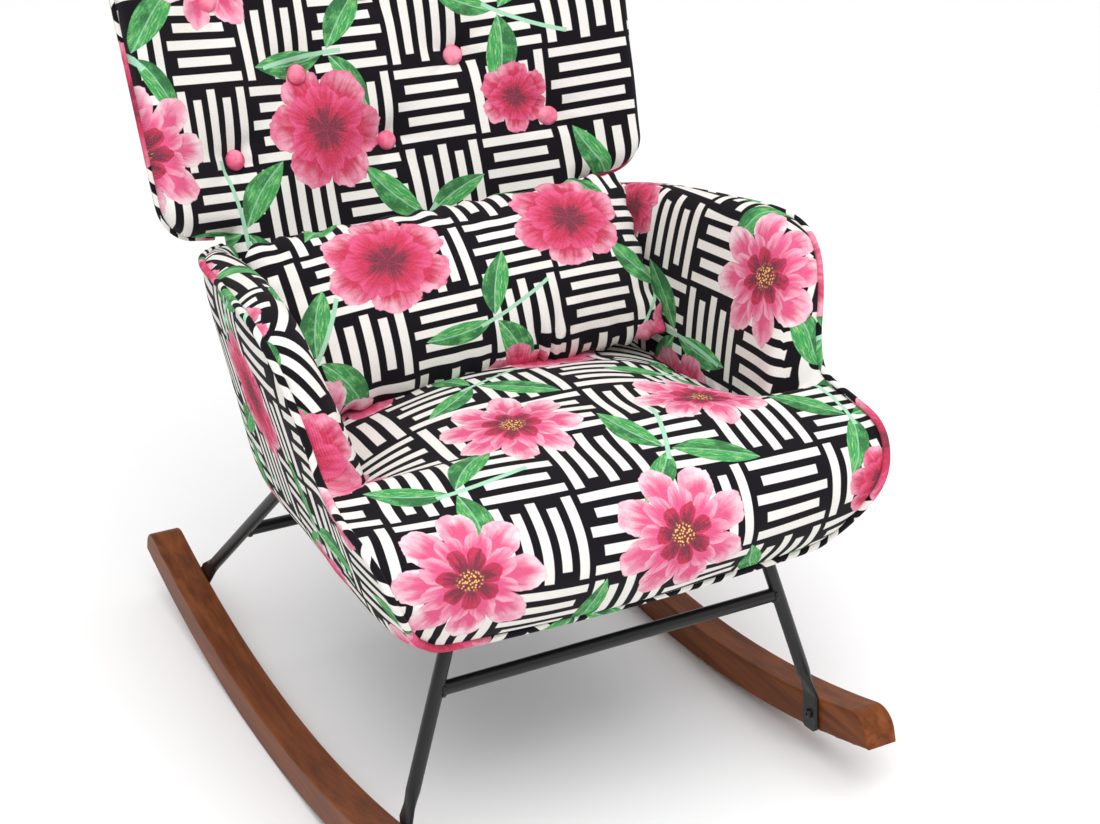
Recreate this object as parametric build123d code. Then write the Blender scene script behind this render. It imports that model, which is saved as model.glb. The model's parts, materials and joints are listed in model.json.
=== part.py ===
from build123d import *
from math import cos, radians, sin, sqrt, tan
import os

os.makedirs("parts", exist_ok=True)

# A rocking armchair, in millimetres. It faces -Y, left and right are as seen from in front,
# Z is up, and the middle of each rocker touches the floor at Y = 0, Z = 0.
clear = 0.3

# Wooden rockers
rocker_length = 874
rocker_radius = 1419
rocker_depth = 42.5
rocker_width = 42
rocker_spread = 532
rocker_nose = 28
rocker_ease = 3

# Tube frame
tube = 16
tube_wall = 1.5
bolt_inset = 107
tab_width = 28
tab_thick = 5
tab_reach = 26
tab_drop = 21
tab_corner = 8
tab_blend = 34
front_top_out = 2
front_top_y = -308
rear_top_out = 21
rear_top_y = 109
front_stretcher_height = 227.5
rear_stretcher_height = 183
bar_width = 34
bar_thick = 5
bar_overhang = 16

# Screws and nuts
bolt = 6
bolt_head = 11.5
head_height = 3.6
socket = 4
insert = 10
insert_length = 24
nut_barrel = 8.5
nut_flange = 19
nut_flange_thick = 1.6
nut_length = 11
mount_bolt_inner = 95
mount_bolt_gap = 15
screw = 5
screw_head = 9

# Seat frame and cushion
underside = 292
dust_cover = 1
rail_height = 75
rail_width = 35
frame_half = 196
frame_front = -322
strap_count = 5
strap_width = 62
strap_thick = 2
arm_foot = 113
seat_roll = 22
seat_front = -389
seat_rear = 238
seat_height = 152
seat_crown = 16
seat_fall = 21
seat_taper = 32

# Arms
arm_board = 8
arm_board_x = 272.5
arm_board_y = -70
arm_board_length = 180
arm_board_drop = 62
arm_board_rise = 160
arm_tilt = 7.5
arm_flare = 4.8
arm_outer_x = 284.4
arm_outer_tilt = 8.8
arm_outer_flare = 7.4
arm_inner_x = 249.5
arm_inner_tilt = 6
arm_inner_flare = 1.7
arm_rear = 150
arm_rear_top = 180
arm_rear_height = 170
arm_front = -250
arm_front_top = -190
arm_height = 214
arm_corner = 50
arm_roll = 15
block_length = 50
block_height = 26
block_reach = 60
cord = 8
cord_seat = 7

# Back
lean = 20
back_y = 191.6
back_z = 148
back_radius = 640
back_crown = 14
back_edge = 16
back_board = 14
back_skin = 12
back_roll = 14
back_foot = 158
back_low_half = 238
wing_foot = 140
wing_flare = 14
wing_top_half = 334
back_height = 572
back_arch = 26
top_corner = 105
wing_round = 0.49
crotch_round = 0.15
button = 24
button_height = 6
tuft_depth = 13
tuft_radius = 52
row_first = 223
row_step = 94
button_step = 212
bracket_x = 70
bracket_width = 40
bracket_thick = 5
bracket_house = 22.5
bracket_rise = 120

# Loose pillow
pillow_half = 243
pillow_height = 178
pillow_thick = 152
pillow_tilt = 30
pillow_y = 62
pillow_z = 236.6

parts = {}


def rod(start, end, radius):
    """A solid round bar between two points."""
    start = Vector(start)
    run = Vector(end) - start
    return Solid.make_cylinder(radius, run.length, Plane(origin=start, z_dir=run))


def block(x0, x1, y0, y1, z0, z1):
    """A box given by its two limits along each axis."""
    middle = ((x0 + x1) / 2, (y0 + y1) / 2, (z0 + z1) / 2)
    return Pos(*middle) * Box(x1 - x0, y1 - y0, z1 - z0)


def mirrored(shape):
    """The same piece on the other side of the chair."""
    return mirror(shape, about=Plane.YZ)


def screw_at(origin, direction, length, shank, head):
    """A domed socket screw whose head sits on the origin and whose shank runs along direction."""
    dome = fillet(Cylinder(head / 2, head_height).edges().sort_by(Axis.Z)[0], head_height * 0.6)
    body = Pos(0, 0, -head_height / 2) * dome
    body += Pos(0, 0, length / 2) * Cylinder(shank / 2, length)
    body -= Pos(0, 0, -head_height) * extrude(RegularPolygon(socket / 2, 6), head_height * 0.6)
    return Plane(origin=origin, z_dir=direction) * body


# Rockers: two arcs about one centre, with the upper corner of each end rounded into a nose.
half = rocker_length / 2
top_half = half * (rocker_radius - rocker_depth) / rocker_radius
bottom_end = rocker_radius - sqrt(rocker_radius**2 - half**2)
top_end = rocker_radius - sqrt((rocker_radius - rocker_depth) ** 2 - top_half**2)
rocker_inner = rocker_spread / 2
bolt_reach = half - bolt_inset
rocker_plane = Plane(origin=(rocker_inner, 0, 0), x_dir=(0, 1, 0), z_dir=(1, 0, 0))
rocker_outline = make_face(
    [
        ThreePointArc((-half, bottom_end), (0, 0), (half, bottom_end)),
        Line((half, bottom_end), (top_half, top_end)),
        ThreePointArc((top_half, top_end), (0, rocker_depth), (-top_half, top_end)),
        Line((-top_half, top_end), (-half, bottom_end)),
    ]
)
rocker = extrude(rocker_plane * rocker_outline, amount=rocker_width, dir=(1, 0, 0))
rocker = fillet(rocker.edges().filter_by(Axis.X).group_by(Axis.Z)[-1], rocker_nose)
side_faces = rocker.faces().filter_by(Axis.X)
rocker = fillet(side_faces.edges(), rocker_ease)


def rocker_middle(y):
    """Height of the rocker's centre line at a distance along it."""
    return rocker_radius - sqrt((rocker_radius - rocker_depth / 2) ** 2 - y**2)


bolt_z = rocker_middle(bolt_reach)
for y in (-bolt_reach, bolt_reach):
    rocker -= rod((rocker_inner - 1, y, bolt_z), (rocker_inner + insert_length, y, bolt_z), insert / 2)
parts["right_rocker"] = rocker
parts["left_rocker"] = mirrored(rocker)

sleeve = Cylinder(insert / 2, insert_length) - Cylinder(bolt / 2, insert_length)
sleeves = []
rocker_bolts = []
for x_sign in (-1, 1):
    for y in (-bolt_reach, bolt_reach):
        middle = (x_sign * (rocker_inner + insert_length / 2), y, bolt_z)
        sleeves.append(Pos(*middle) * Rot(0, 90, 0) * sleeve)
        face = (x_sign * (rocker_inner - tab_thick), y, bolt_z)
        rocker_bolts.append(screw_at(face, (x_sign, 0, 0), insert_length, bolt, bolt_head))
parts["rocker_inserts"] = Compound(sleeves)
parts["rocker_bolts"] = Compound(rocker_bolts)

# Legs: a round tube flattened at its foot into a tab that is bolted to the rocker's inner face.
bar_bottom = underside - bar_thick


def leg_line(bolt_y, top_x, top_y):
    """Foot, neck and top of a leg, with the direction of its tab and of its tube."""
    foot = Vector(rocker_inner - tab_thick / 2, bolt_y, bolt_z)
    top = Vector(top_x, top_y, bar_bottom)
    rise = Vector(0, top_y - bolt_y, bar_bottom - bolt_z).normalized()
    neck = foot + rise * tab_reach
    return foot, neck, top, rise, (top - neck).normalized()


def leg(bolt_y, top_x, top_y):
    """One right-hand leg."""
    foot, neck, top, rise, run = leg_line(bolt_y, top_x, top_y)
    start = neck + run * tab_blend
    tab_plane = Plane(origin=neck, x_dir=(1, 0, 0), z_dir=rise)
    flat = tab_plane * SlotOverall(tab_width, tab_thick, rotation=90)
    round_end = Plane(origin=start, x_dir=(1, 0, 0), z_dir=run) * Circle(tube / 2)
    length = tab_reach + tab_drop
    tab = extrude(flat, amount=-length, dir=rise)
    shape_plane = Plane(origin=foot, x_dir=rise, z_dir=(1, 0, 0))
    shape = Pos(length / 2 - tab_drop, 0) * RectangleRounded(length + 2 * tab_corner, tab_width, tab_corner)
    tab &= extrude(shape_plane * Pos(tab_corner, 0) * shape, amount=tab_thick, both=True)
    body = loft([flat, round_end]) + tab
    beyond = top + run * tube
    body += rod(start, beyond, tube / 2) - rod(start, beyond, tube / 2 - tube_wall)
    body -= block(-400, 400, -500, 500, bar_bottom, bar_bottom + 100)
    body -= rod((0, bolt_y, bolt_z), (rocker_inner + 1, bolt_y, bolt_z), bolt / 2 + clear)
    return body


leg_lines = {
    "front": (-bolt_reach, frame_half + front_top_out, front_top_y),
    "rear": (bolt_reach, frame_half + rear_top_out, rear_top_y),
}
stretcher_heights = {"front": front_stretcher_height, "rear": rear_stretcher_height}
for end, line in leg_lines.items():
    right_leg = leg(*line)
    parts[f"{end}_right_leg"] = right_leg
    parts[f"{end}_left_leg"] = mirrored(right_leg)
    foot, neck, top, rise, run = leg_line(*line)
    joint = neck + run * ((stretcher_heights[end] - neck.Z) / run.Z)
    other = Vector(-joint.X, joint.Y, joint.Z)
    rail = rod(other, joint, tube / 2) - rod(other, joint, tube / 2 - tube_wall)
    upright = rod(neck, top, tube / 2)
    parts[f"{end}_stretcher"] = rail - upright - mirrored(upright)

# Flat bars across the leg tops, bolted up into the seat frame.
mount_bolt_outer = frame_half - rail_width - mount_bolt_gap
mount_spots = [(x, line[2]) for line in leg_lines.values() for x in
               (-mount_bolt_outer, -mount_bolt_inner, mount_bolt_inner, mount_bolt_outer)]


def bore(shape, radius, z0, z1):
    """Drill every mount bolt's hole in a piece."""
    for x, y in mount_spots:
        shape -= rod((x, y, z0), (x, y, z1), radius)
    return shape


for end, (reach, top_x, top_y) in leg_lines.items():
    bar = block(-top_x - bar_overhang, top_x + bar_overhang, top_y - bar_width / 2,
                top_y + bar_width / 2, bar_bottom, underside)
    bar = fillet(bar.edges().filter_by(Axis.Z), bar_width / 4)
    parts[f"{end}_mount_bar"] = bore(bar, bolt / 2 + clear, bar_bottom - 1, underside + 1)

rail_bottom = underside + dust_cover
rail_top = rail_bottom + rail_height
frame_rear = back_y + bracket_house * cos(radians(lean))
bolt_length = bar_thick + dust_cover + rail_height - nut_flange_thick
parts["mount_bolts"] = Compound(
    [screw_at((x, y, bar_bottom), (0, 0, 1), bolt_length, bolt, bolt_head) for x, y in mount_spots]
)
nut = Pos(0, 0, -nut_length / 2) * Cylinder(nut_barrel / 2, nut_length)
nut += Pos(0, 0, -nut_flange_thick / 2) * Cylinder(nut_flange / 2, nut_flange_thick)
nut -= Cylinder(bolt / 2, 3 * nut_length)
parts["tee_nuts"] = Compound([Pos(x, y, rail_top) * nut for x, y in mount_spots])


def nut_holes(shape):
    """Bolt holes and nut seats in a rail."""
    shape = bore(shape, bolt / 2 + clear, rail_bottom - 1, rail_top + 1)
    shape = bore(shape, nut_barrel / 2, rail_top - nut_length, rail_top + 1)
    return bore(shape, nut_flange / 2, rail_top - nut_flange_thick, rail_top + 1)


# Seat frame: three cross rails between two side rails, with elastic straps over the top.
side_in = frame_half - rail_width
front_back = front_top_y + rail_width / 2
middle_front = rear_top_y - rail_width / 2
middle_back = rear_top_y + rail_width / 2
rear_front = frame_rear - rail_width
parts["front_rail"] = nut_holes(
    block(-frame_half, frame_half, frame_front, front_back, rail_bottom, rail_top)
)
parts["middle_rail"] = nut_holes(
    block(-side_in, side_in, middle_front, middle_back, rail_bottom, rail_top)
)
rear_rail = block(-frame_half, frame_half, rear_front, frame_rear, rail_bottom, rail_top)
side_rail = block(side_in, frame_half, front_back, rear_front, rail_bottom, rail_top)

strap_room = middle_front - front_back
strap_pitch = strap_room / strap_count
straps = []
for index in range(strap_count):
    y = front_back + strap_pitch * (index + 0.5)
    low = y - strap_width / 2
    high = y + strap_width / 2
    straps.append(block(-frame_half, frame_half, low, high, rail_top, rail_top + strap_thick))
parts["seat_webbing"] = Compound(straps)
cover = block(-frame_half, frame_half, frame_front, frame_rear, underside, rail_bottom)
parts["dust_cover"] = bore(cover, bolt / 2 + clear, underside - 1, rail_bottom + 1)

# Arm boards: leaning plywood panels, each held off its side rail by two blocks.
foot_height = underside + arm_foot


def board_box(extra):
    """The right arm's board, grown by extra all round."""
    tall = arm_board_drop + arm_board_rise + 2 * extra
    box = Box(arm_board + 2 * extra, arm_board_length + 2 * extra, tall)
    box = Pos(0, 0, (arm_board_rise - arm_board_drop) / 2) * box
    return Pos(arm_board_x, arm_board_y, foot_height) * Rot(0, 0, arm_flare) * Rot(0, arm_tilt, 0) * box


arm_plank = fillet(board_box(0).edges().filter_by(Axis.X, tolerance=15).group_by(Axis.Z)[-1], 20)


def board_x(y, z):
    """Distance out to the middle of the right arm's board at a depth and height."""
    drop = (foot_height - z) * tan(radians(arm_tilt))
    return arm_board_x - drop - (y - arm_board_y) * tan(radians(arm_flare))


def leaning(x, y, flare, tilt):
    """A frame on the arm's foot that turns and leans with one of its faces."""
    return Pos(x, y, foot_height) * Rot(0, 0, flare) * Rot(0, tilt, 0)


beyond_board = leaning(arm_board_x, arm_board_y, arm_flare, arm_tilt) * block(
    -arm_board / 2, 200, -450, 450, -450, 450
)
screw_z = rail_top - block_height / 2
arm_blocks = []
arm_screws = []
block_room = []
for y in (arm_board_y - block_reach, arm_board_y + block_reach):
    low = y - block_length / 2
    high = y + block_length / 2
    whole = block(frame_half, arm_board_x + 60, low, high, rail_top - block_height, rail_top)
    room = block(frame_half - 1, arm_board_x + 60, low - clear, high + clear,
                 rail_top - block_height - clear, rail_top + clear)
    block_room.append((room - beyond_board).solid())
    tip = board_x(y, screw_z) + 2
    hole = rod((side_in - 1, y, screw_z), (tip, y, screw_z), screw / 2)
    arm_blocks.append((whole - beyond_board - hole).solid())
    arm_screws.append(screw_at((side_in, y, screw_z), (1, 0, 0), tip - side_in, screw, screw_head))
    side_rail -= hole
    arm_plank -= hole
parts["right_side_rail"] = side_rail
parts["left_side_rail"] = mirrored(side_rail)
parts["right_arm_board"] = arm_plank
parts["left_arm_board"] = mirrored(arm_plank)
parts["arm_blocks"] = Compound([s for p in arm_blocks for s in (p, mirrored(p).solid())])
parts["arm_screws"] = Compound([s for p in arm_screws for s in (p.solid(), mirrored(p).solid())])

# Arms: a padded slab between a leaning outer face and a steeper inner face.
outer_frame = leaning(arm_outer_x, 0, arm_outer_flare, arm_outer_tilt)
inner_frame = leaning(arm_inner_x, 0, arm_inner_flare, arm_inner_tilt)
inner_side = block(-400, 0, -600, 600, -300, 600)
front_slope = (arm_front_top - arm_front) / arm_height
rear_slope = (arm_rear_top - arm_rear) / arm_rear_height
arm_face = make_face(
    Polyline(
        (arm_rear - 30 * rear_slope, -30), (arm_front - 30 * front_slope, -30),
        (arm_front_top, arm_height), (arm_rear_top, arm_rear_height), close=True,
    )
)
arm_face = fillet(arm_face.vertices().sort_by(Axis.Y)[-1], arm_corner)
arm = extrude(Plane.YZ * arm_face, amount=90, dir=(-1, 0, 0))
rim_edges = arm.faces().sort_by(Axis.X)[-1].edges().filter_by(lambda edge: edge.center().Z > 0)
arm = outer_frame * chamfer(rim_edges.sort_by(Axis.Y)[:-1], cord * 0.85)
arm = arm - inner_frame * inner_side - block(0, 500, -500, 500, foot_height - 200, foot_height)
inner_face = arm.faces().sort_by(SortBy.AREA)[-2:].sort_by(Axis.X)[0]
inner_edges = [
    edge for edge in inner_face.edges()
    if edge.center().Z > foot_height + 5 and edge.center().Y < arm_rear - 10
]
arm = fillet(inner_edges, arm_roll)

# Piping: along each arm's outer edge, down its front and round the seat's front. The points
# on the seat give distance out, distance back and height over the underside.
rim_points = [(arm_rear_top, arm_rear_height), (arm_front_top, arm_height), (arm_front + 8, arm_height * 0.2)]
arm_run = [(outer_frame * Pos(0, y, z)).position for y, z in rim_points]
seat_run = [(314, -345, 150), (304, -391, 103), (272, -368, 40), (240, -356, cord_seat + 2)]
seat_run = [Vector(x, y, underside + z) for x, y, z in seat_run]
right_run = arm_run + seat_run
left_run = [Vector(-spot.X, spot.Y, spot.Z) for spot in reversed(right_run)]
tub_path = FilletPolyline(*right_run, *left_run, radius=[arm_corner] + [18] * 10 + [arm_corner])


def corded(path, radius):
    """A round cord along a path."""
    start = Plane(origin=path @ 0, z_dir=path % 0)
    return sweep(start * Circle(radius), path=path)


parts["tub_piping"] = corded(tub_path, cord / 2)
tub_groove = corded(tub_path, cord / 2 + clear)
arm = arm - board_box(clear) - tub_groove
parts["right_arm_pad"] = arm
parts["left_arm_pad"] = mirrored(arm)

# Seat cushion: crowned sections that narrow to the rear, trimmed to a side outline whose front
# rolls over, with a step on each side for the arm to stand on.
# Every row gives distance back, half width, the fall of its top and how far its shoulder is set in.
wide_y = seat_front + 89
seat_rows = [
    (seat_front - 31, 300, 0, 30),
    (wide_y, arm_outer_x - wide_y * tan(radians(arm_outer_flare)) - 2, 3, 30),
    (seat_rear, arm_outer_x - seat_rear * tan(radians(arm_outer_flare)), seat_fall, 6),
]


def seat_section(row):
    """One closed section of the cushion."""
    y, wide, fall, inset = row
    low = wide - seat_taper
    edge = wide - inset
    top = seat_height - fall
    side = arm_foot - 3
    edges = [
        Line((-low, clear), (low, clear)),
        Line((low, clear), (wide, side)),
        ThreePointArc((wide, side), (wide - inset / 5, (side + 2 * top) / 3), (edge, top)),
        ThreePointArc((edge, top), (0, top + seat_crown), (-edge, top)),
        ThreePointArc((-edge, top), (inset / 5 - wide, (side + 2 * top) / 3), (-wide, side)),
        Line((-wide, side), (-low, clear)),
    ]
    return Plane(origin=(0, y, underside), x_dir=(1, 0, 0), z_dir=(0, -1, 0)) * make_face(edges)


def forward(back, height):
    """A point of the seat's side outline, measured back from its front."""
    return (seat_front + back, height)


side_outline = make_face(
    [
        Line((seat_rear, 0), forward(44, 0)),
        Line(forward(44, 0), forward(31, 10)),
        ThreePointArc(forward(31, 10), forward(9, 52), forward(0, 97)),
        ThreePointArc(forward(0, 97), forward(12, 131), forward(44, seat_height)),
        Line(forward(44, seat_height), forward(160, seat_height + 34)),
        Line(forward(160, seat_height + 34), (seat_rear, seat_height + 34)),
        Line((seat_rear, seat_height + 34), (seat_rear, 0)),
    ]
)
side_plane = Plane(origin=(0, 0, underside), x_dir=(0, 1, 0), z_dir=(1, 0, 0))
cushion = loft([seat_section(row) for row in seat_rows], ruled=True)
cushion &= extrude(side_plane * side_outline, amount=400, both=True)
notch = inner_frame * block(-clear, 300, -600, 600, -300, 600)
notch = notch - block(0, 900, -900, 900, foot_height - 500, foot_height - clear)
notch = notch - block(0, 900, -900, arm_front - 8, 0, 1500)
cushion = cushion - notch - mirrored(notch)
rolled = [
    edge for edge in cushion.edges()
    if edge.length > 300 and abs(abs(edge.center().X) - arm_inner_x) < 12
    and edge.center().Z > foot_height + 10
]
cushion = fillet(rolled, seat_roll)
room = block(-frame_half - clear, frame_half + clear, frame_front - clear, frame_rear + clear,
             underside - 50, rail_top + strap_thick + clear)
cushion -= room
for piece in [board_box(clear), *block_room]:
    cushion = cushion - piece - mirrored(piece)
cushion -= tub_groove

# Back: layers between cylinders whose common axis leans with the back, cut to one outline.
wing_half = wing_top_half - wing_flare
wing_corner = wing_round * (wing_half - back_low_half)
crotch = crotch_round * (wing_half - back_low_half)
turn = radians(lean)
back_plane = Plane(
    origin=(0, back_y, underside + back_z), x_dir=(1, 0, 0), z_dir=(0, -cos(turn), sin(turn))
)


def rounded(face, x, y, radius):
    """Round an outline's corner at x, y and its twin on the other side."""
    return fillet([v for v in face.vertices() if abs(abs(v.X) - x) < 1 and abs(v.Y - y) < 1], radius)


def back_outline(inset):
    """The back seen square on: a narrow foot between the arms and a wide head above them."""
    low, wide, top = back_low_half - inset, wing_half - inset, wing_top_half - inset
    head = back_height - inset
    wing = wing_foot + inset
    shoulder = head - back_arch
    right = [(low, -120), (low, wing), (wide, wing), (top, shoulder)]
    left = [(-x, y) for x, y in reversed(right)]
    crest = ThreePointArc(right[-1], (0, head), left[0])
    face = make_face([Polyline(*right), crest, Polyline(*left), Line(left[-1], right[0])])
    face = rounded(face, wide, wing, wing_corner - inset)
    face = rounded(face, top, shoulder, top_corner - inset)
    return rounded(face, low, wing, crotch + inset)


def drum(radius):
    """A long cylinder in the back's own frame."""
    axis = Plane(origin=(0, -400, back_radius), x_dir=(1, 0, 0), z_dir=(0, 1, 0))
    return axis * (Pos(0, 0, 750) * Cylinder(radius, 1500))


def layer(front, rear, inset):
    """A curved layer, front and rear measured back from the tuft surface."""
    slab = extrude(Pos(0, 0, -200) * back_outline(inset), amount=500)
    shell = drum(back_radius + rear) - drum(back_radius + front)
    return slab & shell


def standing(shape):
    """Place a layer in the chair and level its foot."""
    placed = back_plane * shape
    return placed - block(-500, 500, -500, 900, -500, underside + back_foot)


tuft_spots = []
for row in range(3):
    columns = (-1, 0, 1) if row % 2 == 0 else (-0.5, 0.5)
    tuft_spots += [(column * button_step, row_first + row * row_step) for column in columns]


def tuft_plane(x, y):
    """Where a button sits, facing the sitter."""
    depth = back_radius - sqrt(back_radius**2 - x**2)
    return Plane(
        origin=(x, y, depth), x_dir=(0, 1, 0), z_dir=(-x, 0, back_radius - depth)
    )


surface = back_crown
sunk = surface - tuft_depth
dent = make_face(
    [
        Line((0, sunk), (button / 2 + 1, sunk)),
        ThreePointArc((button / 2 + 1, sunk), (tuft_radius * 0.48, surface - 4), (tuft_radius, surface + 1)),
        Line((tuft_radius, surface + 1), (tuft_radius, surface + 40)),
        Line((tuft_radius, surface + 40), (0, surface + 40)),
        Line((0, surface + 40), (0, sunk)),
    ]
)
dent = revolve(Plane.XZ * dent, axis=Axis.Z)
stud = Cylinder(button / 2, button_height)
stud = Pos(0, 0, button_height / 2) * fillet(stud.edges().sort_by(Axis.Z)[-1], button_height * 0.7)

pad = layer(-back_crown, back_edge, 0)
front_face = pad.faces().filter_by(GeomType.CYLINDER).sort_by(SortBy.AREA)[-2:].sort_by(Axis.Z)[-1]
pad = fillet(front_face.edges().filter_by(lambda e: e.center().Y > -100), back_roll)
for x, y in tuft_spots:
    pad -= tuft_plane(x, y) * dent
parts["back_pad"] = standing(pad)
parts["back_buttons"] = Compound(
    [back_plane * tuft_plane(x, y) * Pos(0, 0, sunk + clear) * stud for x, y in tuft_spots]
)

board = standing(layer(back_edge, back_edge + back_board, cord / 2 + 2))
skin = standing(layer(back_edge + back_board, back_edge + back_board + back_skin, 0))

# Steel tongues let into the rear of the back board and screwed to the seat's rear rail.
upper = block(-bracket_width / 2, bracket_width / 2, 0, bracket_rise,
              -bracket_house - bracket_thick, -bracket_house)
tongue = Pos(bracket_x, 0, 0) * (back_plane * upper)
lower = block(bracket_x - bracket_width / 2, bracket_x + bracket_width / 2, frame_rear,
              frame_rear + bracket_thick, rail_bottom + 5, underside + back_z)
tongue += lower
rail_spots = [(bracket_x, z) for z in (rail_bottom + 25, rail_top - 15)]
board_spots = [(bracket_x, y) for y in (60, bracket_rise - 20)]
back_screws = [
    screw_at((x, frame_rear + bracket_thick, z), (0, -1, 0), rail_width * 0.8, screw, screw_head)
    for x, z in rail_spots
]
back_screws += [
    screw_at(back_plane.from_local_coords((x, y, -bracket_house - bracket_thick)), back_plane.z_dir,
             bracket_thick + 9, screw, screw_head)
    for x, y in board_spots
]
shanks = [
    rod((x, frame_rear + 10, z), (x, frame_rear - rail_width * 0.8, z), screw / 2) for x, z in rail_spots
]
shanks += [
    rod(back_plane.from_local_coords((x, y, -bracket_house - 10)),
        back_plane.from_local_coords((x, y, -bracket_house + 9)), screw / 2)
    for x, y in board_spots
]
for shank in shanks:
    tongue -= shank
    board = board - shank - mirrored(shank)
    rear_rail = rear_rail - shank - mirrored(shank)
pocket = back_plane * block(
    bracket_x - bracket_width / 2 - clear, bracket_x + bracket_width / 2 + clear, -20,
    bracket_rise + clear, -bracket_house - bracket_thick - head_height - clear, -bracket_house
)
slot = block(bracket_x - bracket_width / 2 - clear, bracket_x + bracket_width / 2 + clear, frame_rear - 1,
             frame_rear + bracket_thick + head_height + clear, underside - 5, underside + back_foot)
for piece in (pocket, slot):
    board = board - piece - mirrored(piece)
    skin = skin - piece - mirrored(piece)
    cushion = cushion - piece - mirrored(piece)
parts["seat_cushion"] = cushion
parts["rear_rail"] = rear_rail
parts["back_board"] = board
parts["back_cover"] = skin
parts["back_brackets"] = Compound([tongue.solid(), mirrored(tongue).solid()])
parts["bracket_screws"] = Compound([s for p in back_screws for s in (p.solid(), mirrored(p).solid())])

# Piping around the back's edge, between the front pad and the rear cover: straight runs and
# tangent arcs that follow the curved outline.
cord_radius = back_radius + back_edge + back_board / 2


def edge_point(x, y):
    """A point of the outline laid on the curved back."""
    return back_plane.from_local_coords((x, y, back_radius - sqrt(cord_radius**2 - x**2)))


def crest_point(touch, x):
    """A point at x on the line that touches the back's top edge at touch."""
    reach = sqrt(cord_radius**2 - touch**2)
    ahead = x - touch
    y = back_height - back_arch * (touch**2 + 2 * touch * ahead) / wing_top_half**2
    return back_plane.from_local_coords((x, y, back_radius - reach + touch / reach * ahead))


touch = wing_top_half * 0.36
edge_run = [
    edge_point(back_low_half + crotch, wing_foot),
    edge_point(wing_half, wing_foot),
    edge_point(wing_top_half, back_height - back_arch),
    crest_point(touch, touch * 1.58),
    crest_point(0, touch / 2),
]
other_run = [Vector(-spot.X, spot.Y, spot.Z) for spot in reversed(edge_run)]
edge_radii = [wing_corner, top_corner * 0.9, 400, 500]
edge_path = FilletPolyline(*edge_run, *other_run, radius=edge_radii + edge_radii[::-1])
parts["back_piping"] = corded(edge_path, cord / 2)

# Loose pillow: lens sections across its width, thick in the middle and drawn in at both ends.
pillow_plane = Plane(
    origin=(0, pillow_y, underside + pillow_z),
    x_dir=(0, sin(radians(pillow_tilt)), cos(radians(pillow_tilt))),
    z_dir=(1, 0, 0),
)
pillow_rows = [(-1, 0.99, 0.07), (-0.93, 0.95, 0.45), (-0.55, 0.98, 0.9), (0, 1, 1),
               (0.55, 0.98, 0.9), (0.93, 0.95, 0.45), (1, 0.99, 0.07)]


def pillow_section(row):
    """One lens of the pillow: two arcs that meet at the seams."""
    along, tall, thick = row
    h = tall * pillow_height / 2
    t = thick * pillow_thick / 2
    lens = make_face([ThreePointArc((-h, 0), (0, t), (h, 0)), ThreePointArc((h, 0), (0, -t), (-h, 0))])
    return pillow_plane.offset(along * pillow_half) * lens


parts["lumbar_pillow"] = loft([pillow_section(row) for row in pillow_rows])

for name, shape in parts.items():
    export_step(shape, f"parts/{name}.step")
    print(name, len(shape.solids()), round(sum(s.volume for s in shape.solids())))
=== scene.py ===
import bmesh
import bpy
import json
import math
import numpy as np
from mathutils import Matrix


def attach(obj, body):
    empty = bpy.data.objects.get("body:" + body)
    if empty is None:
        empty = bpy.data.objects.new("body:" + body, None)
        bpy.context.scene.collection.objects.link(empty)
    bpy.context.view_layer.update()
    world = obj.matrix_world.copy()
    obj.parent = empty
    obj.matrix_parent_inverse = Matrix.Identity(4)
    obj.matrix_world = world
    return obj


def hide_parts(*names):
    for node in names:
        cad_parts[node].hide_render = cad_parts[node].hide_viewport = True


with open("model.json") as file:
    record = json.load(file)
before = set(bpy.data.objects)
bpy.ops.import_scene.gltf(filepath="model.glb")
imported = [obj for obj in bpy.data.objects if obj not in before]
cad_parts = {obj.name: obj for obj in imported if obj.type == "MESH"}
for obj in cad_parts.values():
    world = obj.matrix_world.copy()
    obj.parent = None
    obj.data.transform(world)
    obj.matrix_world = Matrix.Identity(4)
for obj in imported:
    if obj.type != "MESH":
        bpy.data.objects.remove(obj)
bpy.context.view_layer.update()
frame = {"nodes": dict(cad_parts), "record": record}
scene = bpy.context.scene
print("frame loaded:", len(frame["nodes"]), "nodes")

# camera: the photograph's own viewpoint, found from the rockers, legs and arm rims
cameraView = {
    "place": (-0.936315, -1.889102, 1.313934),
    "yaw": 0.497312,
    "pitch": 0.417297,
    "lens": 62.706,
    "sensor": 36,
}
cameraData = bpy.data.cameras.new("photoCamera")
cameraData.lens = cameraView["lens"]
cameraData.sensor_width = cameraView["sensor"]
camera = bpy.data.objects.new("photoCamera", cameraData)
camera.location = cameraView["place"]
camera.rotation_euler = (math.pi / 2 - cameraView["pitch"], 0, -cameraView["yaw"])
scene.collection.objects.link(camera)
scene.camera = camera

# light, and the size of the floor
studio = {
    "floor": 60.0,
    "sky": 0.62,
    "aim": (0.0, 0.0, 0.45),
    "overhead": 1.35,
    "overheadSpread": math.radians(70),
    "overheadTurn": (math.radians(12), math.radians(-6), 0),
    # place, size and power of each lamp
    "lamps": {"keyLamp": ((-0.8, -2.0, 3.0), 2.4, 52), "fillLamp": ((2.2, -1.9, 2.2), 2.2, 10)},
}


def lampAt(name, place, size, power):
    lamp = bpy.data.lights.new(name, "AREA")
    lamp.size = size
    lamp.energy = power
    holder = bpy.data.objects.new(name, lamp)
    holder.location = place
    aim = np.array(studio["aim"]) - np.array(place)
    flat = math.hypot(aim[0], aim[1])
    holder.rotation_euler = (math.atan2(flat, -aim[2]), 0, math.atan2(-aim[0], aim[1]))
    scene.collection.objects.link(holder)


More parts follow.
